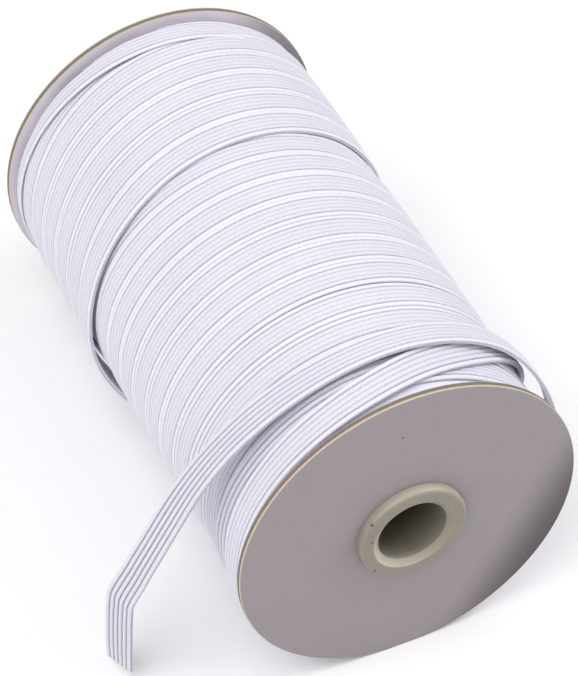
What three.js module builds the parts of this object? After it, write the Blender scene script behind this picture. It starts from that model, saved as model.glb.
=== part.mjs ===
// A roll of ribbed elastic tape on a spool with card discs, lying on its side.
// Millimetres, +Z up. The axis lies along Y with the near disc at -Y, and the roll stands on Z = 0.
// "along" is measured from the near disc's outer face, "out" from the axis,
// and "turn" in degrees around it, from the top towards -X.

import * as THREE from 'three';

// Spool
const discRadius = 31.25;
const discThick = 1.5;
const spoolLength = 106.6;      // over the outer faces of the discs
const flatDepth = 0.25;         // the rims are pressed flat where they rest
const gap = 0.3;                // clearance between neighbouring pieces
const boreRadius = 6.4;         // takes a half-inch spindle
const countersinkRadius = 7.5;
const countersinkDepth = 0.85;
const sleeveRadius = 8.3;
const collarRadius = 10;
const collarHeight = 1.9;       // above the disc's face
const collarRound = 0.8;

// Elastic tape
const tapeWidth = 6;
const tapeThick = 1;
const ribCount = 6;
const ribDepth = 0.16;
const turnPitch = 6;
const grooveDepth = 0.35;       // between neighbouring turns
const upperLift = 0.9;          // the upper layer over the far third
const lowerStart = 4.5;         // first groove of the lower layer
const upperEdge = 78.1;         // near edge of the upper layer, where the last turns leave it
const stepWidth = 0.35;
const lowerEnd = 71;            // the last turns cover the lower layer from here to the step
const endRoom = 1.5;            // from the last groove to the end of the winding

// Smoothness of the round pieces
const discSides = 72;
const coreSides = 40;
const windingSides = 60;
const tapeSteps = 80;

const axisHeight = discRadius - flatDepth;
const nearFace = -spoolLength / 2;
const woundRadius = sleeveRadius + gap;
const woundStart = discThick + gap;
const woundEnd = spoolLength - discThick - gap;
const underRoom = tapeThick + 3 * gap;   // the last turns pass between the winding and the floor

// Radius of the lower layer along the roll
const woundBody = [
  { along: 0, out: 28.95 },
  { along: 6, out: 29.15 },
  { along: 14, out: 29.25 },
  { along: 22, out: 29.7 },
  { along: 32, out: 30.1 },
  { along: 50, out: 30.15 },
  { along: 62, out: 30 },
  { along: 69, out: 29.3 },
  { along: 76, out: 29.1 },
  { along: 90, out: 29.1 },
  { along: 106, out: 28.8 },
];

// The last turns and the loose end of the tape. They close the upper layer, cross under the roll to the
// near disc, run once around beside it, stand off behind its rim, pass over the top and hang down.
// "face" is the way the outer side looks around the roll, and "lean" how far that side turns to -Y.
const looseRoute = [
  { turn: -97, along: 74.4, out: 30.2, face: -97, lean: 0 },
  { turn: -30, along: 73.2, out: 30.2, face: -30, lean: 0 },
  { turn: 20, along: 72, out: 30.25, face: 20, lean: 0 },
  { turn: 60, along: 69.7, out: 30.6, face: 57, lean: 0 },
  { turn: 85, along: 68.5, out: 31.2, face: 80, lean: 0 },
  { turn: 110, along: 67.6, out: 31.8, face: 110, lean: 0 },
  { turn: 135, along: 64.4, out: 31.6, face: 140, lean: 0 },
  { turn: 158, along: 58.4, out: 31.1, face: 160, lean: 0 },
  { turn: 180, along: 51.4, out: 30.3, face: 180, lean: 0 },
  { turn: 202, along: 44, out: 31.1, face: 202, lean: 0 },
  { turn: 235, along: 33, out: 31.1, face: 235, lean: 0 },
  { turn: 268, along: 23.4, out: 30.8, face: 268, lean: 0 },
  { turn: 290, along: 18.2, out: 30.6, face: 290, lean: 0 },
  { turn: 310, along: 14, out: 30.4, face: 310, lean: 0 },
  { turn: 330, along: 10.2, out: 30.3, face: 330, lean: 0 },
  { turn: 350, along: 7.9, out: 30.3, face: 350, lean: 0 },
  { turn: 375, along: 5.8, out: 30.25, face: 375, lean: 0 },
  { turn: 410, along: 5, out: 30.2, face: 410, lean: 0 },
  { turn: 470, along: 5, out: 30.2, face: 470, lean: 0 },
  { turn: 530, along: 6.6, out: 30.2, face: 530, lean: 0 },
  { turn: 590, along: 9, out: 30.3, face: 590, lean: 0 },
  { turn: 608, along: 9.4, out: 30.9, face: 609, lean: 0 },
  { turn: 625, along: 9.9, out: 32.1, face: 632, lean: 4 },
  { turn: 642, along: 10.6, out: 32.4, face: 652, lean: 7 },
  { turn: 660, along: 12, out: 31.9, face: 663, lean: 11 },
  { turn: 678, along: 12.8, out: 31.9, face: 678, lean: 1 },
  { turn: 695, along: 13, out: 31.7, face: 695, lean: -8 },
  { turn: 712, along: 13, out: 31.6, face: 712, lean: -10 },
  { turn: 728, along: 12.9, out: 31.6, face: 726, lean: -9 },
  { turn: 744, along: 12.8, out: 32.1, face: 739, lean: -5 },
  { turn: 760, along: 12.8, out: 33.1, face: 751, lean: -2 },
  { turn: 775, along: 12.7, out: 34.8, face: 763, lean: -2 },
  { turn: 788, along: 12.6, out: 36.8, face: 773, lean: 4 },
  { turn: 799, along: 12.6, out: 39, face: 780, lean: 12 },
  { turn: 808, along: 12.9, out: 41.5, face: 785, lean: 13 },
  { turn: 816, along: 13.6, out: 44.3, face: 792, lean: 16 },
  { turn: 824, along: 14.4, out: 47.4, face: 800, lean: 23 },
  { turn: 831, along: 14.8, out: 50.3, face: 806, lean: 26 },
  { turn: 837, along: 14.8, out: 52.9, face: 810, lean: 24 },
  { turn: 842, along: 14.6, out: 55.4, face: 811, lean: 21 },
];

const radians = THREE.MathUtils.degToRad;

function place(turn, along, out) {
  const angle = radians(turn);
  return new THREE.Vector3(-out * Math.sin(angle), nearFace + along, axisHeight + out * Math.cos(angle));
}

function solid(name, geometry, color, roughness) {
  const mesh = new THREE.Mesh(geometry, new THREE.MeshStandardMaterial({ color, roughness, metalness: 0 }));
  mesh.name = name;
  return mesh;
}

// A ring turned about Y from a closed outline of [out, along] points
function turned(outline, sides) {
  const points = [...outline, outline[0]].map(([out, along]) => new THREE.Vector2(out, along));
  return new THREE.LatheGeometry(points, sides);
}

// A card disc with its rim pressed flat at the bottom
function cardDisc() {
  const hole = sleeveRadius + gap;
  const disc = turned([[hole, 0], [discRadius, 0], [discRadius, discThick], [hole, discThick]], discSides);
  const point = disc.attributes.position;
  for (let i = 0; i < point.count; i += 1) {
    point.setZ(i, Math.max(point.getZ(i), -axisHeight));
  }
  return disc;
}

// Half of the plastic core: a rounded collar, a countersunk bore and a sleeve that reaches the middle
function halfCore() {
  const sleeveEnd = spoolLength / 2 - gap / 2;
  const roundSteps = 4;
  const outline = [[boreRadius, countersinkDepth - collarHeight], [countersinkRadius, -collarHeight]];
  for (let i = 0; i <= roundSteps; i += 1) {
    const angle = (i / roundSteps) * (Math.PI / 2);
    const out = collarRadius - collarRound * (1 - Math.sin(angle));
    outline.push([out, -collarHeight + collarRound * (1 - Math.cos(angle))]);
  }
  outline.push([collarRadius, -gap], [sleeveRadius, -gap]);
  outline.push([sleeveRadius, sleeveEnd], [boreRadius, sleeveEnd]);
  return turned(outline, coreSides);
}

// Radius of the lower layer at one place along the roll
function bodyRadius(along) {
  const next = Math.max(1, woundBody.findIndex((row) => row.along >= along));
  const [low, high] = [woundBody[next - 1], woundBody[next]];
  return THREE.MathUtils.mapLinear(along, low.along, high.along, low.out, high.out);
}

// Rows of points along the winding, three to a turn: one in the groove and two at the edges of the flat.
// The foot of the upper layer's step follows that layer around the roll.
function windingRows() {
  const across = [{ share: 0, dip: 1 }, { share: 0.16, dip: 0.1 }, { share: 0.84, dip: 0.1 }];
  const rows = [{ along: woundStart, dip: 1, layer: 0, lift: 0 }];
  const addTurns = (from, to, layer) => {
    for (let start = from; start < to; start += turnPitch) {
      for (const { share, dip } of across) {
        const along = start + share * turnPitch;
        if (along < to) rows.push({ along, dip, layer, lift: layer * upperLift });
      }
    }
  };
  addTurns(lowerStart, lowerEnd, 0);
  rows.push({ along: upperEdge - stepWidth, dip: 0, layer: 1, lift: 0 });
  addTurns(upperEdge, woundEnd - endRoom, 1);
  rows.push({ along: woundEnd, dip: 1, layer: 1, lift: upperLift });
  return rows;
}

// The lower turns drift to +Y around the roll and step back under it. The upper ones drift to -Y
// and step back where the last turns begin.
function drift(turn, row) {
  const seam = row.layer === 0 ? 180 : looseRoute[0].turn;
  const handed = row.layer === 0 ? 1 : -1;
  const around = THREE.MathUtils.euclideanModulo(turn - seam, 360);
  const stepBack = 30;
  const climbed = 360 - stepBack;
  const share = around < climbed ? around / 360 : (climbed / 360) * ((360 - around) / stepBack);
  const centred = row.layer === 0 ? share - 0.5 : share;
  const fromEnds = Math.min(row.along - woundStart, woundEnd - row.along);
  return handed * centred * turnPitch * Math.min(1, fromEnds / turnPitch);
}

function windingPoint(turn, row) {
  const along = row.along + drift(turn, row);
  const out = bodyRadius(along) + row.lift - row.dip * grooveDepth;
  const down = -Math.cos(radians(turn));
  const limit = down > 0 ? (axisHeight - underRoom) / down : discRadius;
  return place(turn, along, Math.min(out, limit));
}

// The wound elastic: a ring whose outer points follow the turns
function winding() {
  const rows = windingRows();
  const outline = rows.map((row) => [discRadius, row.along]);
  outline.push([woundRadius, woundEnd], [woundRadius, woundStart]);
  const ring = turned(outline, windingSides);
  const point = ring.attributes.position;
  const perSide = outline.length + 1;
  for (let side = 0; side <= windingSides; side += 1) {
    const turn = -(360 * (side % windingSides)) / windingSides;
    for (let i = 0; i < perSide; i += 1) {
      const row = rows[i % outline.length];
      const [out, along] = outline[i % outline.length];
      const at = row ? windingPoint(turn, row) : place(turn, along, out);
      point.setXYZ(side * perSide + i, at.x, at.y, at.z);
    }
  }
  return ring;
}

// A smooth curve through three columns of the loose route
function routeColumns(columns) {
  const points = looseRoute.map((row) => new THREE.Vector3(...columns.map((column) => row[column])));
  return new THREE.CatmullRomCurve3(points, false, 'catmullrom');
}

class TapeRoute extends THREE.Curve {
  constructor() {
    super();
    this.arcLengthDivisions = 20 * looseRoute.length;
    this.places = routeColumns(['turn', 'along', 'out']);
    this.looks = routeColumns(['face', 'lean', 'turn']);
  }

  getPoint(share) {
    const at = this.places.getPoint(share);
    return place(at.x, at.y, at.z);
  }

  // The way the tape's outer side looks
  getLook(share) {
    const look = this.looks.getPoint(share);
    const [face, lean] = [radians(look.x), radians(look.y)];
    return new THREE.Vector3(
      -Math.sin(face) * Math.cos(lean), -Math.sin(lean), Math.cos(face) * Math.cos(lean),
    );
  }
}

// The last turns and the loose end: a ribbed strip bent along its route
function looseEnd() {
  const route = new TapeRoute();
  const strip = new THREE.BoxGeometry(tapeWidth, tapeThick, 1, 2 * ribCount, 1, tapeSteps);
  const point = strip.attributes.position;
  for (let i = 0; i < point.count; i += 1) {
    const share = route.getUtoTmapping(point.getZ(i) + 0.5);
    const tangent = route.getTangent(share);
    const across = new THREE.Vector3().crossVectors(route.getLook(share), tangent).normalize();
    const outward = new THREE.Vector3().crossVectors(tangent, across);
    const sideways = point.getX(i);
    const rib = Math.abs(Math.sin((sideways / tapeWidth + 0.5) * ribCount * Math.PI));
    const height = point.getY(i) - Math.sign(point.getY(i)) * ribDepth * (1 - rib);
    const at = route.getPoint(share).addScaledVector(across, sideways).addScaledVector(outward, height);
    point.setXYZ(i, at.x, at.y, at.z);
  }
  return strip;
}

const roll = new THREE.Group();

const frontDisc = solid('front_disc', cardDisc(), 0x9c969a, 0.8);
frontDisc.position.set(0, nearFace, axisHeight);
const backDisc = solid('back_disc', cardDisc(), 0xb1a7af, 0.8);
backDisc.position.set(0, -nearFace - discThick, axisHeight);

const frontCore = solid('front_core', halfCore(), 0xb3ac9c, 0.45);
frontCore.position.set(0, nearFace, axisHeight);
const backCore = solid('back_core', halfCore(), 0xb3ac9c, 0.45);
backCore.position.set(0, -nearFace, axisHeight);
backCore.rotation.z = Math.PI;

roll.add(frontDisc, backDisc, frontCore, backCore);
roll.add(solid('winding', winding(), 0xeeedf6, 0.85));
roll.add(solid('loose_end', looseEnd(), 0xf1f0f8, 0.85));

export default roll;
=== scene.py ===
import bpy
import math
import numpy as np
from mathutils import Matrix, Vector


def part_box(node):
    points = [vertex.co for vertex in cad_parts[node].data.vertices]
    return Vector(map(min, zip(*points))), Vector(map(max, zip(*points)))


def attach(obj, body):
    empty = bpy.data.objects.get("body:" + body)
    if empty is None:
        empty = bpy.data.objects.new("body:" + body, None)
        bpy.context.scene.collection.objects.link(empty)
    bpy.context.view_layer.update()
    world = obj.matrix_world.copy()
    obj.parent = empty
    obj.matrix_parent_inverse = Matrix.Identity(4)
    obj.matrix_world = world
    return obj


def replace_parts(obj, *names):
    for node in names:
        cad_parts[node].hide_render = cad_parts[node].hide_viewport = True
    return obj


# A roll of ribbed elastic tape on a spool with card discs, lying on its side.
# Sizes are millimetres. "along" is measured from the near disc's outer face, "out" from the spool's axis,
# and "turn" in degrees around it, from the top towards -X.
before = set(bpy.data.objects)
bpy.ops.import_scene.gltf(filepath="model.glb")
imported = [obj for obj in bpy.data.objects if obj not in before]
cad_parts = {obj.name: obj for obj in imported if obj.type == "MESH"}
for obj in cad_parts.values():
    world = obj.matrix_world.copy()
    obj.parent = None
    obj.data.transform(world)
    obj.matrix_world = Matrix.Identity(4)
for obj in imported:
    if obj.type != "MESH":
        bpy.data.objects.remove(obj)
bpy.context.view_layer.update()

mm = 0.001                          # one millimetre in metres
discLow, discHigh = (np.array(corner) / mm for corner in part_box("front_disc"))
farHigh = np.array(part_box("back_disc")[1]) / mm
coreLow, coreHigh = (np.array(corner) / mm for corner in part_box("front_core"))

spool = {
    "nearFace": discLow[1],
    "length": farHigh[1] - discLow[1],
    "discRadius": (discHigh[0] - discLow[0]) / 2,
    "axisHeight": (coreLow[2] + coreHigh[2]) / 2,
    "collarRadius": (coreHigh[0] - coreLow[0]) / 2,
    "collarHeight": discLow[1] - coreLow[1],
    "cardThick": 1.2,               # a little thinner than the CAD disc, as thin as it looks
    "clearance": 0.35,              # from a disc's inner face to the turns
}
discRoom = spool["cardThick"] + spool["clearance"]
print("spool", {name: round(float(size), 2) for name, size in spool.items()})


# sRGB hex to the linear colour that the shaders take
def linearColor(code):
    shares = [int(code[i:i + 2], 16) / 255 for i in (1, 3, 5)]
    return [s / 12.92 if s <= 0.04045 else ((s + 0.055) / 1.055) ** 2.4 for s in shares] + [1.0]


# adds a node, sets it and fills its sockets with values or links
def addNode(tree, kind, settings=None, sockets=None):
    node = tree.nodes.new(kind)
    for name, value in (settings or {}).items():
        setattr(node, name, value)
    for key, value in (sockets or {}).items():
        if isinstance(value, bpy.types.NodeSocket):
            tree.links.new(value, node.inputs[key])
        else:
            node.inputs[key].default_value = value
    return node


# a material with an empty node tree
def newMaterial(name):
    material = bpy.data.materials.new(name)
    material.use_nodes = True
    material.node_tree.nodes.clear()
    return material, material.node_tree


# turn, along and out to a point: the spool's axis lies along Y, and out swings from +Z to -X
def place(turn, along, out):
    angle = np.radians(turn)
    return np.stack([-out * np.sin(angle), spool["nearFace"] + along + 0 * angle,
                     spool["axisHeight"] + out * np.cos(angle)], axis=-1)


# a closed section of [along, out] points turned about the axis in even steps
def turned(section, sides):
    turn = np.linspace(0, 360, sides + 1)[:-1]
    return place(turn[:, None], section[:, 0], section[:, 1])


# each vector divided by its length
def unit(vectors):
    return vectors / np.linalg.norm(vectors, axis=-1, keepdims=True)


# A mesh from a grid of points: row i and column j are joined to the next, around the columns always and around
# the rows where they wrap. uv has one more row or column than the points where they wrap. Faces are turned
# out by the sign of the volume, and an edge is sharp past an angle in degrees.
def gridMesh(name, points, uv, wrapRows=False, caps=False, paintedShadeAndHighlight=None, sharp=50):
    rows, columns = points.shape[:2]
    i, j = np.meshgrid(np.arange(rows - (not wrapRows)), np.arange(columns), indexing="ij")
    cornerRow = np.stack([i, i + 1, i + 1, i], axis=-1).reshape(-1, 4)
    cornerColumn = np.stack([j, j, j + 1, j + 1], axis=-1).reshape(-1, 4)
    faces = (cornerRow % rows) * columns + cornerColumn % columns
    corners = points.reshape(-1, 3)[faces]
    volume = np.einsum("ij,ij->", corners[:, 0], np.cross(corners[:, 1], corners[:, 2])) \
        + np.einsum("ij,ij->", corners[:, 0], np.cross(corners[:, 2], corners[:, 3]))
    order = [0, 1, 2, 3] if volume > 0 else [3, 2, 1, 0]
    faceLists = faces[:, order].tolist()
    uvCorners = uv[cornerRow, cornerColumn][:, order].reshape(-1, 2)
    if caps:
        first, last = list(range(columns)), list(range((rows - 1) * columns, rows * columns))
        ends = [first, last[::-1]] if volume > 0 else [first[::-1], last]
        faceLists += ends
        capUv = [uv[np.array(end) // columns, np.array(end) % columns] for end in ends]
        uvCorners = np.vstack([uvCorners] + capUv)
    mesh = bpy.data.meshes.new(name)
    mesh.from_pydata((points.reshape(-1, 3) * mm).tolist(), [], faceLists)
    layer = mesh.uv_layers.new(name="tape")
    layer.data.foreach_set("uv", uvCorners.astype(np.float32).ravel())
    # a point attribute carries painted shade on the tapes and painted highlight on the cores
    if paintedShadeAndHighlight is not None:
        attribute = mesh.attributes.new("paintedShadeAndHighlight", "FLOAT", "POINT")
        attribute.data.foreach_set("value", paintedShadeAndHighlight.astype(np.float32).ravel())
    mesh.polygons.foreach_set("use_smooth", np.ones(len(mesh.polygons), bool))
    mesh.set_sharp_from_angle(angle=math.radians(sharp))
    mesh.update()
    made = bpy.data.objects.new(name, mesh)
    bpy.context.scene.collection.objects.link(made)
    return made


# A piece rides on the roll, takes its materials, and may stand for a CAD node
def fit(piece, materials, node=None):
    for material in materials:
        piece.data.materials.append(material)
    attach(piece, "root")
    if node:
        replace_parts(piece, node)
    return piece


# Camera at the photograph's angle
view = {"azimuth": -24.786, "elevation": 45.348, "place": (-157.23, -345.48, 411.27),
        "lens": 159.75, "sensor": 36, "clip": 10}
camera = bpy.data.objects.new("camera", bpy.data.cameras.new("camera"))
camera.data.lens = view["lens"]
camera.data.sensor_width = view["sensor"]
camera.data.clip_start = view["clip"] * mm
camera.location = np.array(view["place"]) * mm
camera.rotation_euler = (math.radians(90 - view["elevation"]), 0, math.radians(view["azimuth"]))
bpy.context.scene.collection.objects.link(camera)
bpy.context.scene.camera = camera
print("camera set")

# Braided elastic: polyester yarn plaited over rubber cords, bleached white.
# The plait gives fine stitches along each rib, and the grooves between the cords are painted a lavender grey
# shade.
# Stitches and fuzz are drawn a little coarser than real ones, so that they show.
# the groove colour is painted shade, mixed in by the tape's painted shade attribute
elasticLook = {"rib": "#EFEEF6", "soft": "#E4E3ED", "groove": "#827F92", "cloud": 12,
               "ribWidth": 1.0, "stitch": 0.55, "yarnHeight": 0.08, "fuzzAcross": 0.16, "fuzzAlong": 0.42,
               "relief": 0.15, "pitFrom": 0.62, "pitTo": 0.3, "pitShade": 0.2}


def braidedElastic():
    look = elasticLook
    material, tree = newMaterial("braided elastic, bleached polyester")
    uv = addNode(tree, "ShaderNodeUVMap", {"uv_map": "tape"})
    split = addNode(tree, "ShaderNodeSeparateXYZ", sockets={0: uv.outputs[0]})
    # yarns lean one way on one half of a rib and the other way on the other half, so they meet in a V
    half = addNode(tree, "ShaderNodeMath", {"operation": "PINGPONG"},
                   {0: split.outputs[0], 1: look["ribWidth"] / 2})
    slant = addNode(tree, "ShaderNodeMath", {"operation": "ADD"}, {0: half.outputs[0], 1: split.outputs[1]})
    phase = addNode(tree, "ShaderNodeMath", {"operation": "MULTIPLY"},
                    {0: slant.outputs[0], 1: 2 * math.pi / look["stitch"]})
    yarn = addNode(tree, "ShaderNodeMath", {"operation": "SINE"}, {0: phase.outputs[0]})
    drawn = addNode(tree, "ShaderNodeVectorMath", {"operation": "MULTIPLY"},
                    {0: uv.outputs[0], 1: (1 / look["fuzzAcross"], 1 / look["fuzzAlong"], 1)})
    fuzz = addNode(tree, "ShaderNodeTexNoise", {"noise_dimensions": "2D"},
                   {"Vector": drawn.outputs[0], "Scale": 1.0, "Detail": 2.0, "Roughness": 0.6})
    height = addNode(tree, "ShaderNodeMath", {"operation": "MULTIPLY_ADD"},
                     {0: yarn.outputs[0], 1: look["yarnHeight"], 2: fuzz.outputs[0]})
    bump = addNode(tree, "ShaderNodeBump", sockets={"Strength": 0.45, "Distance": look["relief"] * mm,
                                                    "Height": height.outputs[0]})
    # painted shade of the grooves, edges, field and loose tape, read from the tape's attribute
    grooves = addNode(tree, "ShaderNodeAttribute", {"attribute_name": "paintedShadeAndHighlight"})
    coords = addNode(tree, "ShaderNodeTexCoord")
    cloudy = addNode(tree, "ShaderNodeTexNoise", sockets={"Vector": coords.outputs["Object"],
                                                          "Scale": 1 / (look["cloud"] * mm), "Detail": 3.0})
    tone = addNode(tree, "ShaderNodeMix", {"data_type": "RGBA"},
                   {0: cloudy.outputs[0], 6: linearColor(look["rib"]), 7: linearColor(look["soft"])})
    # painted shadows between stitches deepen the grooves' painted shade
    stitchShade = addNode(tree, "ShaderNodeMapRange",
                   sockets={"Value": height.outputs[0], "From Min": look["pitFrom"], "From Max": look["pitTo"],
                            "To Min": 0.0, "To Max": look["pitShade"]})
    paintedShadeAndHighlight = addNode(tree, "ShaderNodeMath", {"operation": "ADD", "use_clamp": True},
                   {0: grooves.outputs["Fac"], 1: stitchShade.outputs[0]})
    shade = addNode(tree, "ShaderNodeMix", {"data_type": "RGBA"},
                    {0: paintedShadeAndHighlight.outputs[0], 6: tone.outputs[2], 7: linearColor(look["groove"])})
    rough = addNode(tree, "ShaderNodeMapRange",
                    sockets={"Value": fuzz.outputs[0], "To Min": 0.75, "To Max": 0.95})
    shader = addNode(tree, "ShaderNodeBsdfPrincipled",
                     sockets={"Base Color": shade.outputs[2], "Roughness": rough.outputs[0], "IOR": 1.5,
                              "Specular IOR Level": 0.25, "Sheen Weight": 0.1, "Sheen Roughness": 0.5,
                              "Normal": bump.outputs[0]})
    addNode(tree, "ShaderNodeOutputMaterial", sockets={"Surface": shader.outputs[0]})
    return material


elastic = braidedElastic()
print("elastic material made")

tape = {"width": 6.0, "thick": 0.8, "ribs": 6, "pointsPerRib": 7, "edgeRound": 0.36, "crown": 0.05,
        "grooveWidth": 0.14,        # and the depths of the five grooves, where the tape is loose or wound
        "loose": (0.25, 0.26, 0.27, 0.26, 0.25), "wound": (0.25, 0.11, 0.09, 0.11, 0.25),
        # the darkening below is painted shade: in the grooves by depth, at the edges where turns meet, in a wound
        # tape's field and over a loose tape
        "grooveShadeDepth": 0.36, "edgeShade": 0.5, "fieldShade": 0.11, "looseShade": 0.14}


# Section of the tape, outer side first and then the inner side back: rounded edges, a crown on each rib and
# a narrow bell at each groove. Field is the middle four ribs, where a stretched tape lies flat.
def tapeSection(width, innerPoints):
    across = np.linspace(-width / 2, width / 2, tape["ribs"] * tape["pointsPerRib"] + 1)
    beyond = np.clip((np.abs(across) - width / 2 + tape["edgeRound"]) / tape["edgeRound"], 0, 1)
    rounding = tape["edgeRound"] * (1 - np.sqrt(1 - beyond ** 2))
    centres = (np.arange(1, tape["ribs"]) / tape["ribs"] - 0.5) * width
    bells = np.exp(-((across[:, None] - centres) / tape["grooveWidth"]) ** 2)
    crown = tape["crown"] * np.abs(np.sin((across / width + 0.5) * tape["ribs"] * np.pi)) - tape["crown"]
    field = np.abs(across) < width / 3
    innerAcross = np.linspace(width / 2, -width / 2, innerPoints + 2)[1:-1]
    inner = np.zeros(innerPoints)
    return {"across": np.concatenate([across, innerAcross]),
            "height": np.concatenate([tape["thick"] / 2 - rounding + crown, inner - tape["thick"] / 2]),
            "bells": np.vstack([bells, np.zeros((innerPoints, bells.shape[1]))]),
            "edge": np.concatenate([beyond ** 6, inner]),
            "field": np.concatenate([field, inner])}


# Heights and painted shade of the section at each step, from how far the tape is wound (1) or loose (0) there. The
# depth of each groove is mixed by that share, and the painted shade grows with the depth, towards the edges, over
# the field of a wound tape and on a loose tape.
def tapeRows(section, woundShare):
    share = woundShare[:, None]
    depth = (share * np.array(tape["wound"]) + (1 - share) * np.array(tape["loose"])) @ section["bells"].T
    paintedShadeAndHighlight = depth / tape["grooveShadeDepth"] + tape["edgeShade"] * section["edge"] \
        + tape["fieldShade"] * share * section["field"] + tape["looseShade"] * (1 - share)
    return section["height"] - depth, np.clip(paintedShadeAndHighlight, 0, 1)


# uv of a strip in millimetres: across the section and along the path
def stripUv(section, length):
    across = np.concatenate([section["across"], section["across"][:1]]) + tape["width"] / 2
    return np.stack(np.broadcast_arrays(across[None, :], length[:, None]), axis=-1)


# Route of the last turns and the loose end: turn, along, out, face (the way the outer side looks around the
# roll) and lean (how far that side turns to -Y)
looseRoute = np.array([
    (-97, 74.4, 30, -97, 0), (-30, 73.2, 30.1, -30, 0), (20, 72, 30.25, 20, 0), (60, 69.7, 30.6, 57, -2),
    (85, 68.5, 30.9, 80, -4), (110, 67.6, 31.3, 110, -6), (135, 64.4, 31.1, 140, -4), (158, 58.4, 31.1, 160, 0),
    (180, 51.4, 30.3, 180, 0), (202, 44, 31.1, 202, 0), (235, 33, 31.1, 235, 0), (268, 23.4, 30.8, 268, 0),
    (290, 18.2, 30.6, 290, 0), (310, 14, 30.4, 310, 2), (330, 10.2, 30.3, 330, 6), (350, 7.9, 30.3, 350, 7),
    (375, 5.8, 30.25, 375, 4), (410, 5, 30.2, 410, 0), (470, 5, 30.2, 470, 0), (530, 6.6, 30.2, 530, 0),
    (590, 9, 30.3, 590, 4), (608, 9.4, 30.9, 609, 13), (625, 9.9, 32.1, 632, 18), (642, 10.6, 32.4, 652, 8),
    (660, 12, 31.9, 663, -3), (678, 12.8, 31.9, 678, -8), (695, 13, 31.7, 695, -9), (712, 13, 31.6, 712, -10),
    (728, 12.9, 31.6, 726, -9), (744, 12.8, 32.1, 739, -5), (760, 12.8, 33.1, 751, -2),
    (775, 12.7, 34.8, 763, -2), (788, 12.6, 36.8, 773, 4), (799, 12.6, 39, 780, 12), (808, 12.9, 41.5, 785, 13),
    (816, 13.6, 44.5, 792, 16), (820.5, 14, 47, 797, 19), (822.8, 14.2, 48.3, 800, 22),   # the crease
    (825.6, 14.4, 49.1, 803, 24), (831.8, 14.7, 51.2, 806, 25), (836.7, 14.8, 53.4, 810, 24),
    (840.5, 14.7, 55.4, 811, 21),
], float)


# Uniform Catmull-Rom curve through the rows of a table: each stretch is the cubic whose slope at a row is half
# the step between its neighbours, with the end rows carried on straight.
def smoothThrough(rows, count):
    padded = np.vstack([2 * rows[0] - rows[1], rows, 2 * rows[-1] - rows[-2]])
    at = np.linspace(0, len(rows) - 1, count)
    low = np.minimum(at.astype(int), len(rows) - 2)
    share = (at - low)[:, None]
    a, b, c, d = (padded[low + k] for k in range(4))
    return 0.5 * (2 * b + (c - a) * share + (2 * a - 5 * b + 4 * c - d) * share ** 2
                  + (3 * b - a - 3 * c + d) * share ** 3)


looseEnd = {"step": 1.0, "pointsPerRow": 60, "innerPoints": 43,
            "turn": (60, 180, 720, 790), "wound": (1, 0.85, 0.85, 0)}   # pulled flat, and loose as it hangs


# The loose end: the section carried along the route at even steps. Across is the look turned against the
# path's direction, and outward is the direction turned against across.
def looseTape():
    fine = smoothThrough(looseRoute, looseEnd["pointsPerRow"] * len(looseRoute))
    steps = np.linalg.norm(np.diff(place(*fine.T[:3]), axis=0), axis=1)
    reach = np.concatenate([[0], np.cumsum(steps)])
    length = np.linspace(0, reach[-1], int(reach[-1] / looseEnd["step"]) + 1)
    turn, along, out, face, lean = (np.interp(length, reach, column) for column in fine.T)
    centre = place(turn, along, out)
    face, lean = np.radians(face), np.radians(lean)
    look = np.stack([-np.sin(face) * np.cos(lean), -np.sin(lean), np.cos(face) * np.cos(lean)], axis=1)
    direction = unit(np.gradient(centre, axis=0))
    across = unit(np.cross(look, direction))
    outward = np.cross(direction, across)
    section = tapeSection(tape["width"], looseEnd["innerPoints"])
    height, paintedShadeAndHighlight = tapeRows(section, np.interp(turn, looseEnd["turn"], looseEnd["wound"]))
    points = centre[:, None] + section["across"][:, None] * across[:, None] \
        + height[..., None] * outward[:, None]
    piece = gridMesh("loose-tape", points, stripUv(section, length), caps=True, paintedShadeAndHighlight=paintedShadeAndHighlight)
    fit(piece, [elastic], "loose_end")
    return reach[-1]


print("loose tape", round(float(looseTape()), 1), "mm long")

wound = {
    "step": 4.0,                    # degrees
    "width": 5.97, "innerPoints": 5,
    "underRoom": 1.75,              # height of the turns over the floor, and how much more their inner side has
    "innerRoom": 0.3,
    "farRoom": 2.9,                 # from the far disc's outer face to the upper turns
    "bodyAlong": (0, 6, 14, 22, 32, 50, 62, 69, 76, 106),
    "bodyOut": (29.2, 29.4, 29.5, 29.8, 30.1, 30.15, 30.05, 29.6, 29.4, 29.3),
}


# Slow unevenness along the tape: a sum of sines of growing pace and falling weight, with seeded phases
def wander(turn, seed, size):
    random = np.random.default_rng(seed)
    pace = np.array([0.31, 0.83, 1.7, 3.1])
    weight = np.array([0.4, 0.3, 0.2, 0.1])
    waves = np.sin(np.radians(turn)[:, None] * pace + random.uniform(0, 2 * np.pi, pace.size))
    return size * waves @ weight


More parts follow.
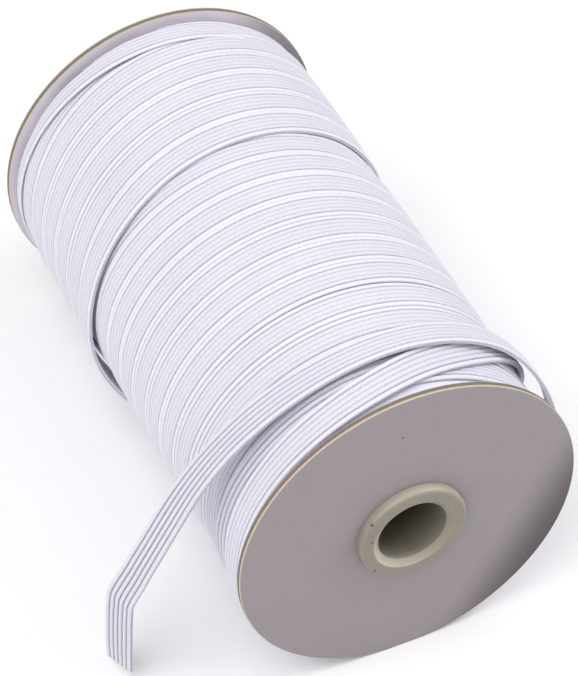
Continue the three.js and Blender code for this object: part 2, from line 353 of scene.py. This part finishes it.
# Wound turns: the section carried around the spool. What would run into a disc turns down beside it, and
# the turns are pressed flat under the roll, where the last turn crosses.
def woundTape(name, turn, along, out, tilt, farRoom=discRoom, share=1.0):
    section = tapeSection(wound["width"], wound["innerPoints"])
    height, paintedShadeAndHighlight = tapeRows(section, share + 0 * turn)
    lean = np.radians(tilt)[:, None]
    pointAlong = along[:, None] - section["across"] * np.cos(lean)
    pointOut = out[:, None] + section["across"] * np.sin(lean) + height
    high = spool["length"] - farRoom
    excess = np.maximum(discRoom - pointAlong, 0) + np.maximum(pointAlong - high, 0)
    points = place(turn[:, None], np.clip(pointAlong, discRoom, high), pointOut - excess)
    points[..., 2] = np.maximum(points[..., 2], wound["underRoom"] + wound["innerRoom"] * (height < 0))
    length = np.radians(turn - turn[0]) * out.mean()
    return fit(gridMesh(name, points, stripUv(section, length), caps=True, paintedShadeAndHighlight=paintedShadeAndHighlight), [elastic])


# the lower layer's radius along the roll, straight between the stations
def bodyOut(along):
    return np.interp(along, wound["bodyAlong"], wound["bodyOut"])


lower = {"centre": 7.9, "pitch": 5.99, "from": -120, "to": 4140,    # centre at the top, turns in degrees
         "startSlack": 1.6,         # the first turn leaves the disc at a steeper angle
         "riseTurn": (-5, 15, 95, 150), "rise": (0, 0.65, 0.6, 0),  # and its far edge stands up on the left
         "riseShift": 0.5, "riseTilt": -11,
         "alongWander": (3, 0.09), "outWander": (5, 0.05), "tiltWander": (8, 1.6)}      # seed and size


# The lower layer: a helix of one pitch a turn on the body's radius, from the near disc to under the upper layer
def lowerLayer():
    turn = np.arange(lower["from"], lower["to"], wound["step"], float)
    along = lower["centre"] + lower["pitch"] * turn / 360 + wander(turn, *lower["alongWander"])
    along -= lower["startSlack"] * np.clip(turn / lower["from"], 0, 1)
    rise = np.interp(turn, lower["riseTurn"], lower["rise"])
    along -= lower["riseShift"] * rise
    out = bodyOut(along) - tape["thick"] / 2 + rise + wander(turn, *lower["outWander"])
    slack = rise / max(lower["rise"])
    tilt = wander(turn, *lower["tiltWander"]) + lower["riseTilt"] * slack
    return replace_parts(woundTape("lower-turns", turn, along, out, tilt, share=1 - slack), "winding")


upper = {"turns": 5.3, "pitch": 6.0, "join": 60,    # degrees over which it joins the last turn
         "joinShift": 0.3,
         "slip": 2.6, "slipAt": 90, "slipWidth": 50, "slipKeep": 0.93,
         "back": (0, 120, 1300, 1450, 1680, 1950),  # degrees back from the last turn, lower by the far disc
         "out": (30, 30.2, 30.2, 30, 29.6, 29.2),
         "alongWander": (13, 0.08), "outWander": (15, 0.05), "tiltWander": (18, 1.4)}   # seed and size


# The upper layer runs back from the far disc to where the last turn starts. On the left its turns have slipped
# towards the near disc by a bell of the angle, less with each turn away from the last.
def upperLayer():
    leave = looseRoute[0]
    turn = np.arange(leave[0] - 360 * upper["turns"], leave[0] + 1, wound["step"])
    back = leave[0] - turn
    fade = np.clip(back / upper["join"], 0, 1)
    angle = (turn - leave[0]) % 360 + leave[0]
    bell = np.exp(-((angle - upper["slipAt"]) / upper["slipWidth"]) ** 2)
    slip = upper["slip"] * bell * upper["slipKeep"] ** (back / 360)
    along = leave[1] + upper["pitch"] * back / 360 - slip - upper["joinShift"] * fade \
        + fade * wander(turn, *upper["alongWander"])
    out = np.interp(back, upper["back"], upper["out"]) + fade * wander(turn, *upper["outWander"])
    tilt = fade * wander(turn, *upper["tiltWander"])
    return woundTape("upper-turns", turn, along, out, tilt, wound["farRoom"])


farBand = {"turn": (-170, -60, -20, 0, 15, 30, 60, 90, 130, 190),
           "nearEdge": (96.5, 97.6, 98.1, 98.5, 99, 99.6, 100.6, 101.2, 101.6, 101.6),
           "out": (28.6, 29.2, 30.05, 30.3, 30.25, 30.1, 29.9, 29.8, 29.4, 29),
           "tilt": (0, 3, 7, 8, 8, 9, 10, 11, 10, 6),
           "points": 400}


# A last turn beside the far disc, a smooth curve through its stations. It lies on its neighbour on the left and
# slips under it on the right, and leans so that its near edge stands up.
def farTurn():
    stations = np.array([farBand[name] for name in ("turn", "nearEdge", "out", "tilt")], float).T
    rows = smoothThrough(stations, farBand["points"])
    turn = np.arange(rows[0, 0], rows[-1, 0], wound["step"])
    nearEdge, out, tilt = (np.interp(turn, rows[:, 0], column) for column in rows.T[1:])
    return woundTape("far-turn", turn, nearEdge + wound["width"] / 2, out, tilt, wound["farRoom"])


innerTurns = {"sides": 120, "stations": 26, "margin": 4, "sunk": 0.85, "hole": 8.6, "underRoom": 0.9,
              "uvAround": 1.6, "uvAlong": 4.0}


# The elastic under the visible turns: a ring turned from a section that follows the winding's body
def woundCore():
    facts = innerTurns
    length, sides = spool["length"], facts["sides"]
    middle = np.linspace(facts["margin"], length - facts["margin"], facts["stations"])
    along = np.array([discRoom, *middle, length - discRoom])
    out = bodyOut(along) - tape["thick"] * facts["sunk"]
    hole = [(along[-1], facts["hole"]), (along[0], facts["hole"])]
    ring = np.vstack([np.stack([along, out], 1), hole])
    points = turned(ring, sides)
    points[..., 2] = np.maximum(points[..., 2], wound["underRoom"] + facts["underRoom"])
    around, across = np.arange(sides + 1) * facts["uvAround"], np.arange(len(ring) + 1) * facts["uvAlong"]
    uv = np.stack(np.meshgrid(around, across, indexing="ij"), axis=-1)[..., ::-1]
    return fit(gridMesh("inner-turns", points, uv, wrapRows=True), [elastic])


lowerLayer()
upperLayer()
farTurn()
woundCore()
print("winding made")

speck = {"colour": "#2E2622", "core": 0.5, "cover": 0.75}


# Mixes a dark tint into a colour inside small spheres, for specks of dirt
def addSpecks(tree, coords, tone, specks):
    for spot, radius in specks:
        away = addNode(tree, "ShaderNodeVectorMath", {"operation": "DISTANCE"},
                       {0: coords.outputs["Object"], 1: [x * mm for x in spot]})
        inside = addNode(tree, "ShaderNodeMapRange",
                         sockets={"Value": away.outputs["Value"], "From Min": radius * mm,
                                  "From Max": speck["core"] * radius * mm, "To Max": speck["cover"]})
        tone = addNode(tree, "ShaderNodeMix", {"data_type": "RGBA"},
                       {0: inside.outputs[0], 6: tone.outputs[2], 7: linearColor(speck["colour"])})
    return tone


# Card disc: brown board faced with paper on both sides, painted mauve grey outside as shade and whiter inside.
# The cut rim shows the board between two paper edges. The painted shade towards a rim gives the side it lies on
# and where it starts and ends.
card = {"sides": 240, "outsidePaper": 0.34, "insidePaper": 0.14, "rimRound": 0.1, "holeRadius": 8.4,
        "faceStations": (12, 16, 20, 24, 28),
        # the outside's mauve grey is pale paper darkened with painted shade
        "outside": "#999194", "outsideMottle": "#938B8F",
        # painted shade darkens the near disc's outside towards its lower right rim: its colour, then the side and
        # where it starts and ends
        "paintedShadeColour": "#585153", "paintedShadeReach": ((0.87, 0, -0.5), 18.5, 31.5),
        "specks": [((-1.95, -53.3, 53.8), 0.3)],
        "inside": "#DAD3DC", "insideMottle": "#D2CAD4",
        # the inside is darkened towards its right rim with a painted shadow of the winding
        "insideShadeColour": "#8A8288", "insideShadeReach": ((0.94, 0, 0.34), 21, 31),
        "paperEdge": "#CCC2B4", "paperEdgeDark": "#B4A99B", "board": "#8B7F71", "boardDark": "#6E6459",
        "cloud": 9, "fibre": 0.5, "tear": 0.8}      # fibres are drawn coarser than real ones, so that they show


# the paper's fibres give a faint mottling and a matt, slightly uneven skin, and one side is darkened towards the
# rim with painted shade
def cardFace(name, light, dark, paintedShadeColour, paintedShadeReach, specks):
    material, tree = newMaterial(name)
    coords = addNode(tree, "ShaderNodeTexCoord")
    cloudy = addNode(tree, "ShaderNodeTexNoise", sockets={"Vector": coords.outputs["Object"],
                                                          "Scale": 1 / (card["cloud"] * mm), "Detail": 4.0})
    fibres = addNode(tree, "ShaderNodeTexNoise", sockets={"Vector": coords.outputs["Object"],
                                                          "Scale": 1 / (card["fibre"] * mm), "Detail": 3.0})
    tone = addNode(tree, "ShaderNodeMix", {"data_type": "RGBA"},
                   {0: cloudy.outputs[0], 6: linearColor(light), 7: linearColor(dark)})
    # painted shade darkens the face towards one rim, from start to end along the side
    side, start, end = paintedShadeReach
    centred = addNode(tree, "ShaderNodeVectorMath", {"operation": "SUBTRACT"},
                      {0: coords.outputs["Object"], 1: (0, 0, spool["axisHeight"] * mm)})
    towards = addNode(tree, "ShaderNodeVectorMath", {"operation": "DOT_PRODUCT"},
                      {0: centred.outputs[0], 1: side})
    shadeMask = addNode(tree, "ShaderNodeMapRange", {"interpolation_type": "SMOOTHSTEP"},
                     {"Value": towards.outputs["Value"], "From Min": start * mm, "From Max": end * mm})
    paintedShade = addNode(tree, "ShaderNodeMix", {"data_type": "RGBA"},
                   {0: shadeMask.outputs[0], 6: tone.outputs[2], 7: linearColor(paintedShadeColour)})
    speckled = addSpecks(tree, coords, paintedShade, specks)
    bump = addNode(tree, "ShaderNodeBump", sockets={"Strength": 0.12, "Distance": 0.1 * mm,
                                                    "Height": fibres.outputs[0]})
    shader = addNode(tree, "ShaderNodeBsdfPrincipled",
                     sockets={"Base Color": speckled.outputs[2], "Roughness": 0.7, "IOR": 1.5,
                              "Specular IOR Level": 0.35, "Normal": bump.outputs[0]})
    addNode(tree, "ShaderNodeOutputMaterial", sockets={"Surface": shader.outputs[0]})
    return material


# the knife leaves the cut edge torn and rough
def cardEdge(name, light, dark):
    material, tree = newMaterial(name)
    coords = addNode(tree, "ShaderNodeTexCoord")
    torn = addNode(tree, "ShaderNodeTexNoise", sockets={"Vector": coords.outputs["Object"],
                                                        "Scale": 1 / (card["tear"] * mm), "Detail": 4.0})
    tone = addNode(tree, "ShaderNodeMix", {"data_type": "RGBA"},
                   {0: torn.outputs[0], 6: linearColor(light), 7: linearColor(dark)})
    bump = addNode(tree, "ShaderNodeBump", sockets={"Strength": 0.5, "Distance": 0.12 * mm,
                                                    "Height": torn.outputs[0]})
    shader = addNode(tree, "ShaderNodeBsdfPrincipled",
                     sockets={"Base Color": tone.outputs[2], "Roughness": 0.9, "IOR": 1.5,
                              "Specular IOR Level": 0.2, "Normal": bump.outputs[0]})
    addNode(tree, "ShaderNodeOutputMaterial", sockets={"Surface": shader.outputs[0]})
    return material


rimShadedPaper = cardFace("paper, calendered, mauve grey as painted shade and handled", card["outside"], card["outsideMottle"],
                        card["paintedShadeColour"], card["paintedShadeReach"], card["specks"])
paperWithoutRimShade = cardFace("paper, calendered, mauve grey as painted shade", card["outside"], card["outsideMottle"],
                      card["outsideMottle"], card["paintedShadeReach"], [])
cardMaterials = [cardFace("white lining paper", card["inside"], card["insideMottle"], card["insideShadeColour"],
                          card["insideShadeReach"], []),
                 cardEdge("cut paper edge", card["paperEdge"], card["paperEdgeDark"]),
                 cardEdge("cut pulp board", card["board"], card["boardDark"])]


# A piece turned from a section and pressed flat on the floor. Its uv runs about a rim's length around.
def turnedPiece(name, section, sides, paintedShadeAndHighlight=None):
    points = turned(section, sides)
    points[..., 2] = np.maximum(points[..., 2], 0)
    around, across = np.linspace(0, 200, sides + 1), np.arange(len(section) + 1.0)
    uv = np.stack(np.meshgrid(around, across, indexing="ij"), axis=-1)
    return gridMesh(name, points, uv, wrapRows=True, paintedShadeAndHighlight=paintedShadeAndHighlight, sharp=25)


# Disc section, from the hole to the rim on the outside and back on the inside. Quarter circles round the rim.
# Its stretches take materials 0 to 3: outside paper, inside paper, paper edge and board.
def cardDisc(name, node, outside, mirrored):
    thick, radius, corner = spool["cardThick"], spool["discRadius"], card["rimRound"]
    bend = np.radians(np.array([0, 30, 60, 90]))
    faceOut = np.array([card["holeRadius"], *card["faceStations"]])
    face = np.stack([0 * faceOut, faceOut], 1)
    edge = np.stack([corner * (1 - np.cos(bend)), radius - corner * (1 - np.sin(bend))], 1)
    half = np.vstack([face, edge])
    rim = [(card["outsidePaper"], radius), (thick - card["insidePaper"], radius)]
    section = np.vstack([half, rim, half[::-1] * [-1, 1] + [thick, 0]])
    papers = np.array([0] * len(face) + [2] * len(edge))
    band = np.concatenate([papers, [3], np.where(papers[::-1] == 0, 1, 2), [1]])
    if mirrored:
        section[:, 0] = spool["length"] - section[:, 0]
    piece = turnedPiece(name, section, card["sides"])
    piece.data.polygons.foreach_set("material_index", np.tile(band, card["sides"]))
    return fit(piece, [outside] + cardMaterials, node)


cardDisc("near-card-disc", "front_disc", rimShadedPaper, False)
cardDisc("far-card-disc", "back_disc", paperWithoutRimShade, True)
print("card discs made")

# Core: moulded polyethylene with a rounded collar and a countersunk bore
core = {"sides": 160, "bore": 6.4, "countersink": 7.5, "countersinkDepth": 0.85, "lip": 0.2, "sleeve": 8.2,
        "round": 0.8, "seat": 0.02, "middleGap": 0.15, "boreFrom": 2.0, "boreStep": 10, "boreSteps": 6,
        # the pale tone is a painted highlight on the rim and countersink, and the dark one a painted shade in the
        # bore
        "cream": "#8A8376", "dull": "#7E776B", "highlightColour": "#C2BBAB", "paintedShade": "#645D53",
        "mouth": 52.5, "deep": 45.0,                # where the bore's painted shade starts and is full, from the middle
        "sinkHighlight": (0.5, 0.9, 0), "rimHighlight": 0.8, "wallHighlight": 0.4, "leastHighlight": 0.1,
        "sinkSide": 130, "rimSide": -25,            # the turn where the painted highlight on the countersink and the rim is brightest
        "specks": [((-8.0, -54.9, 36.8), 0.42), ((-8.0, -55.2, 32.7), 0.34), ((-7.3, -55.1, 25.2), 0.42)],
        "cloud": 3, "grain": 0.4}                   # the grain is drawn coarser than a real one, so that it shows


# the moulding's skin is smooth with a faint grain, its rim and countersink are lightened on one side with painted
# highlight, and the bore is darkened beyond its mouth with painted shade
def mouldedPlastic():
    material, tree = newMaterial("moulded polyethylene, cream")
    coords = addNode(tree, "ShaderNodeTexCoord")
    cloudy = addNode(tree, "ShaderNodeTexNoise", sockets={"Vector": coords.outputs["Object"],
                                                          "Scale": 1 / (core["cloud"] * mm), "Detail": 3.0})
    grain = addNode(tree, "ShaderNodeTexNoise", sockets={"Vector": coords.outputs["Object"],
                                                         "Scale": 1 / (core["grain"] * mm), "Detail": 2.0})
    tone = addNode(tree, "ShaderNodeMix", {"data_type": "RGBA"},
                   {0: cloudy.outputs[0], 6: linearColor(core["cream"]), 7: linearColor(core["dull"])})
    highlight = addNode(tree, "ShaderNodeAttribute", {"attribute_name": "paintedShadeAndHighlight"})
    # painted highlight, stronger where the attribute is high
    highlighted = addNode(tree, "ShaderNodeMix", {"data_type": "RGBA"},
                   {0: highlight.outputs["Fac"], 6: tone.outputs[2], 7: linearColor(core["highlightColour"])})
    split = addNode(tree, "ShaderNodeSeparateXYZ", sockets={0: coords.outputs["Object"]})
    alongBore = addNode(tree, "ShaderNodeMath", {"operation": "ABSOLUTE"}, {0: split.outputs[1]})
    inside = addNode(tree, "ShaderNodeMapRange",
                     sockets={"Value": alongBore.outputs[0], "From Min": core["mouth"] * mm,
                              "From Max": core["deep"] * mm})
    # painted shade darkens the bore beyond its mouth
    darkened = addNode(tree, "ShaderNodeMix", {"data_type": "RGBA"},
                       {0: inside.outputs[0], 6: highlighted.outputs[2], 7: linearColor(core["paintedShade"])})
    speckled = addSpecks(tree, coords, darkened, core["specks"])
    bump = addNode(tree, "ShaderNodeBump", sockets={"Strength": 0.15, "Distance": 0.1 * mm,
                                                    "Height": grain.outputs[0]})
    shader = addNode(tree, "ShaderNodeBsdfPrincipled",
                     sockets={"Base Color": speckled.outputs[2], "Roughness": 0.42, "IOR": 1.51,
                              "Normal": bump.outputs[0]})
    addNode(tree, "ShaderNodeOutputMaterial", sockets={"Surface": shader.outputs[0]})
    return material


plastic = mouldedPlastic()


# Half core section: countersink, flat collar face, a quarter circle at the rim, the collar's wall, the sleeve
# and back through the bore. The painted highlight falls off around it by the square of a raised cosine.
def halfCore(name, node, mirrored):
    height, radius, bore, sleeve = spool["collarHeight"], spool["collarRadius"], core["bore"], core["sleeve"]
    bend = np.radians(np.linspace(0, 90, 9))
    rim = np.stack([core["round"] * (1 - np.cos(bend)) - height, radius - core["round"] * (1 - np.sin(bend))], 1)
    middle = spool["length"] / 2 - core["middleGap"]
    sink = [(core["countersinkDepth"] - height, bore), (-height, core["countersink"]),
            (-height, core["countersink"] + core["lip"])]
    wall = [(-core["seat"], radius), (-core["seat"], sleeve), (middle, sleeve), (middle, bore)]
    boreAlong = core["boreFrom"] - height + core["boreStep"] * np.arange(core["boreSteps"])[::-1]
    section = np.vstack([sink, rim, wall, np.stack([boreAlong, bore + 0 * boreAlong], 1)])
    unhighlighted = np.zeros(len(section) - len(sink) - len(rim) - 1)
    # painted highlight on the countersink, the rim's rounding and the wall
    highlight = np.concatenate([core["sinkHighlight"], core["rimHighlight"] * np.sin(bend) ** 2, [core["wallHighlight"]], unhighlighted])
    turn = np.linspace(0, 360, core["sides"] + 1)[:-1]
    most = np.where(np.arange(len(section)) < len(sink), core["sinkSide"], core["rimSide"])
    side = 0.5 + 0.5 * np.cos(np.radians(turn[:, None] - most))
    highlight = highlight * (core["leastHighlight"] + (1 - core["leastHighlight"]) * side ** 2)
    if mirrored:
        section[:, 0] = spool["length"] - section[:, 0]
    return fit(turnedPiece(name, section, core["sides"], highlight), [plastic], node)


halfCore("near-core", "front_core", False)
halfCore("far-core", "back_core", True)
print("cores made")

# Studio, in metres: a pale floor, a soft light from above left, a weaker one from the right and a white surround
studio = {"floor": "#F7F7F8", "floorSize": 6.0, "surround": 0.66, "middle": (0, 0, 0.03),
          "key": {"place": (-0.43, -0.2, 0.74), "size": 0.75, "power": 4.2},
          "fill": {"place": (0.62, -0.2, 0.62), "size": 0.4, "power": 2.4}}


# a plain square of matt paper
def studioFloor():
    side = studio["floorSize"] / 2
    corners = [(-side, -side, 0), (side, -side, 0), (side, side, 0), (-side, side, 0)]
    mesh = bpy.data.meshes.new("floor")
    mesh.from_pydata(corners, [], [(0, 1, 2, 3)])
    floor = bpy.data.objects.new("floor", mesh)
    bpy.context.scene.collection.objects.link(floor)
    material, tree = newMaterial("pale studio paper")
    shader = addNode(tree, "ShaderNodeBsdfPrincipled",
                     sockets={"Base Color": linearColor(studio["floor"]), "Roughness": 0.9})
    addNode(tree, "ShaderNodeOutputMaterial", sockets={"Surface": shader.outputs[0]})
    mesh.materials.append(material)


# a round lamp that looks at the roll: it tips by the angle from straight down, then turns to the roll's side
def softLight(name, facts):
    light = bpy.data.lights.new(name, "AREA")
    light.shape = "DISK"
    light.size = facts["size"]
    light.energy = facts["power"]
    lamp = bpy.data.objects.new(name, light)
    lamp.location = facts["place"]
    towards = np.array(studio["middle"]) - np.array(facts["place"])
    lamp.rotation_euler = (math.pi - math.acos(towards[2] / np.linalg.norm(towards)), 0,
                           math.atan2(towards[1], towards[0]) - math.pi / 2)
    bpy.context.scene.collection.objects.link(lamp)


studioFloor()
softLight("key", studio["key"])
softLight("fill", studio["fill"])
world = bpy.data.worlds.new("surround")
world.use_nodes = True
world.node_tree.nodes.clear()
surround = addNode(world.node_tree, "ShaderNodeBackground",
                   sockets={"Color": (1, 1, 1, 1), "Strength": studio["surround"]})
addNode(world.node_tree, "ShaderNodeOutputWorld", sockets={"Surface": surround.outputs[0]})
bpy.context.scene.world = world
bpy.context.scene.view_settings.view_transform = "Standard"
print("studio set")
